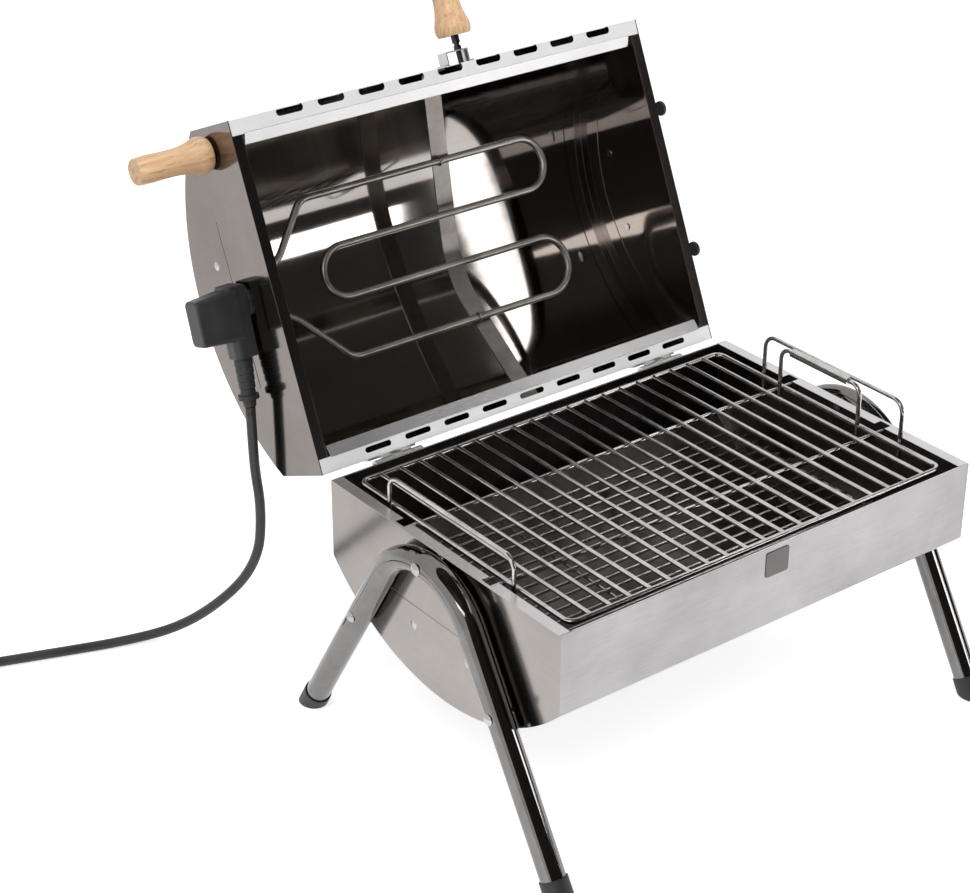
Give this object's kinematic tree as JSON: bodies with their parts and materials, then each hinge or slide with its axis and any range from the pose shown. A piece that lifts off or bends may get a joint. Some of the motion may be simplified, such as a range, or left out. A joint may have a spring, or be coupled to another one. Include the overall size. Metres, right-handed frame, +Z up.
{
  "type": "folding camp grill",
  "caption": "Portable half-barrel camp grill on folding U-shaped legs, with a hinged lid holding an electric element, lift-out wire grates and wooden handles.",
  "frame": {"origin": "on the ground under the middle of the open grill's box, its lead left out", "axes": "+Z up; X runs along the barrel, with the mains inlet and side handle at -X; -Y is the front; the hinge is at +Y"},
  "size_m": [0.8541, 0.6217, 0.5943],
  "materials": {
    "brushed_shell": "brushed stainless sheet",
    "polished_shell": "mirror-polished stainless sheet",
    "steel_ends": "polished stainless sheet",
    "badge": "bare darkened plate",
    "bright_fixings": "bright plated",
    "bracket_steel": "plain steel sheet",
    "chrome_tube": "chromed tube",
    "black_rubber": "matt black",
    "bright_wire": "bright plated wire",
    "element_metal": "heat-darkened nickel alloy sheath",
    "strip_metal": "heat-tinted steel",
    "black_plastic": "fine matt",
    "black_cable": "soft cable jacket",
    "plug_brass": "nickel-plated brass",
    "turned_wood": "turned, lightly lacquered beech",
    "dark_fixings": "blackened steel"
  },
  "bodies": {
    "base": {"trough_shell": "brushed_shell", "trough_end_left": "steel_ends", "trough_end_right": "steel_ends", "badge_plate": "badge", "trough_rivets": "bright_fixings", "fire_grate_brackets": "bracket_steel", "leg_pivot_bolts": "bright_fixings", "leg_pivot_nuts": "bright_fixings", "leg_pivot_washers": "bright_fixings", "hinge_base_leaves": "bracket_steel", "hinge_pins": "bright_fixings", "cord_tube": "black_cable", "cord_coil": "black_cable", "cord_tail": "black_cable", "plug_body": "black_plastic", "plug_pins": "plug_brass"},
    "lid": {"lid_shell": "polished_shell", "lid_end_left": "steel_ends", "lid_end_right": "steel_ends", "lid_bumper_stems": "bright_fixings", "lid_bumpers": "black_rubber", "lid_rivets": "bright_fixings", "hinge_lid_leaves": "bracket_steel", "heating_element": "element_metal", "terminal_block": "black_plastic", "element_strip": "strip_metal", "element_clips": "bright_fixings", "side_handle": "turned_wood", "side_handle_bolt": "bright_fixings", "side_handle_washer": "bright_fixings", "front_handle": "turned_wood", "front_handle_bolt": "dark_fixings", "front_handle_bracket": "bracket_steel", "front_handle_nuts": "dark_fixings", "inlet_socket": "black_plastic", "connector_body": "black_plastic", "connector_grip": "black_plastic", "strain_relief": "black_rubber"},
    "left_leg": {"left_leg_tube": "chrome_tube", "left_foot_caps": "black_rubber", "left_leg_detents": "bright_fixings"},
    "right_leg": {"right_leg_tube": "chrome_tube", "right_foot_caps": "black_rubber", "right_leg_detents": "bright_fixings"},
    "grate": {"cooking_grate": "bright_wire", "grate_handle_left": "bright_wire", "grate_handle_right": "bright_wire", "grate_bail_right": "bright_wire", "grate_grip": "bright_wire"},
    "fire_grate": {"fire_grate": "bright_wire"}
  },
  "joints": [
    {"name": "lid_hinge", "type": "hinge", "parent": "base", "child": "lid", "pos_m": [0.022, 0.06833, 0.2235], "axis": [1, 0, 0], "range_deg": [0, 114]},
    {"name": "left_leg_fold", "type": "hinge", "parent": "base", "child": "left_leg", "pos_m": [-0.2155, -0.09187, 0.224], "axis": [1, 0, 0], "range_deg": [-180, 0]},
    {"name": "right_leg_fold", "type": "hinge", "parent": "base", "child": "right_leg", "pos_m": [0.2595, -0.09187, 0.224], "axis": [1, 0, 0], "range_deg": [-180, 0]},
    {"name": "grate_lift", "type": "slide", "parent": "base", "child": "grate", "axis": [0, 0, -1], "range_m": [-0.08, 0]},
    {"name": "fire_grate_lift", "type": "slide", "parent": "base", "child": "fire_grate", "axis": [0, 0, -1], "range_m": [-0.04, 0]}
  ]
}
